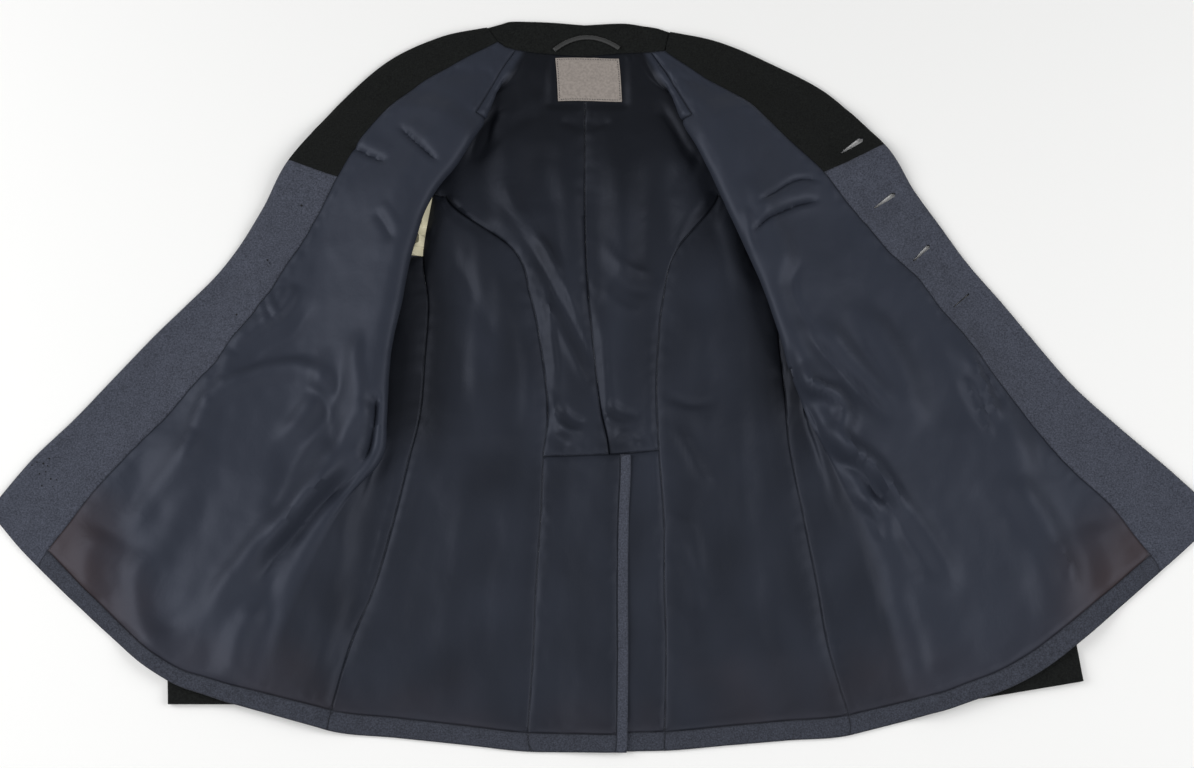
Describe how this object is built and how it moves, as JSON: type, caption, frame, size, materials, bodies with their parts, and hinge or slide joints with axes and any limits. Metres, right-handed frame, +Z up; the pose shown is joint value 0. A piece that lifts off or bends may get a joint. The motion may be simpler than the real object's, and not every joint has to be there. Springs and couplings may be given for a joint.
{
  "type": "dress tunic",
  "caption": "Officer's dress tunic lying open on its back, lining up: fronts folded out over the sleeves, dark collar and lapels, satin lining, vented skirt.",
  "frame": {"origin": "centre of the tunic's outline on the surface that it lies on", "axes": "+Z up from that surface, +Y towards the collar, +X to the viewer's right, which is the wearer's left front"},
  "size_m": [1.1576, 0.7304, 0.0338],
  "materials": {
    "melange_cloth": "slate grey melange wool, soft and matt",
    "black_cloth": "black wool facecloth, matt",
    "satin_lining": "dark satin with a soft sheen",
    "cream_lining": "cream satin",
    "woven_label": "grey-beige woven tape, no lettering",
    "braid": "dark braided cord",
    "button_metal": "plain domed gilt"
  },
  "bodies": {
    "root": {"back_left": "melange_cloth", "back_right": "melange_cloth", "side_back_left": "melange_cloth", "side_back_right": "melange_cloth", "front_left": "melange_cloth", "front_right": "melange_cloth", "sleeve_top_left": "melange_cloth", "sleeve_top_right": "melange_cloth", "sleeve_under_left": "melange_cloth", "sleeve_under_right": "melange_cloth", "front_facing_left": "melange_cloth", "front_facing_right": "melange_cloth", "hem_back_left": "melange_cloth", "hem_back_right": "melange_cloth", "hem_side_left": "melange_cloth", "hem_side_right": "melange_cloth", "hem_front_left": "melange_cloth", "hem_front_right": "melange_cloth", "vent_facing_left": "melange_cloth", "lapel_facing_left": "black_cloth", "lapel_facing_right": "black_cloth", "cuff_left": "black_cloth", "cuff_right": "black_cloth", "collar": "black_cloth", "lining_back_left": "satin_lining", "lining_back_right": "satin_lining", "lining_skirt_left": "satin_lining", "lining_skirt_right": "satin_lining", "lining_side_left": "satin_lining", "lining_side_right": "satin_lining", "lining_front_left": "satin_lining", "lining_front_right": "satin_lining", "sleeve_lining_left": "cream_lining", "label": "woven_label", "hanger_loop": "braid", "button_1": "button_metal", "button_2": "button_metal", "button_3": "button_metal", "button_4": "button_metal"}
  },
  "joints": []
}
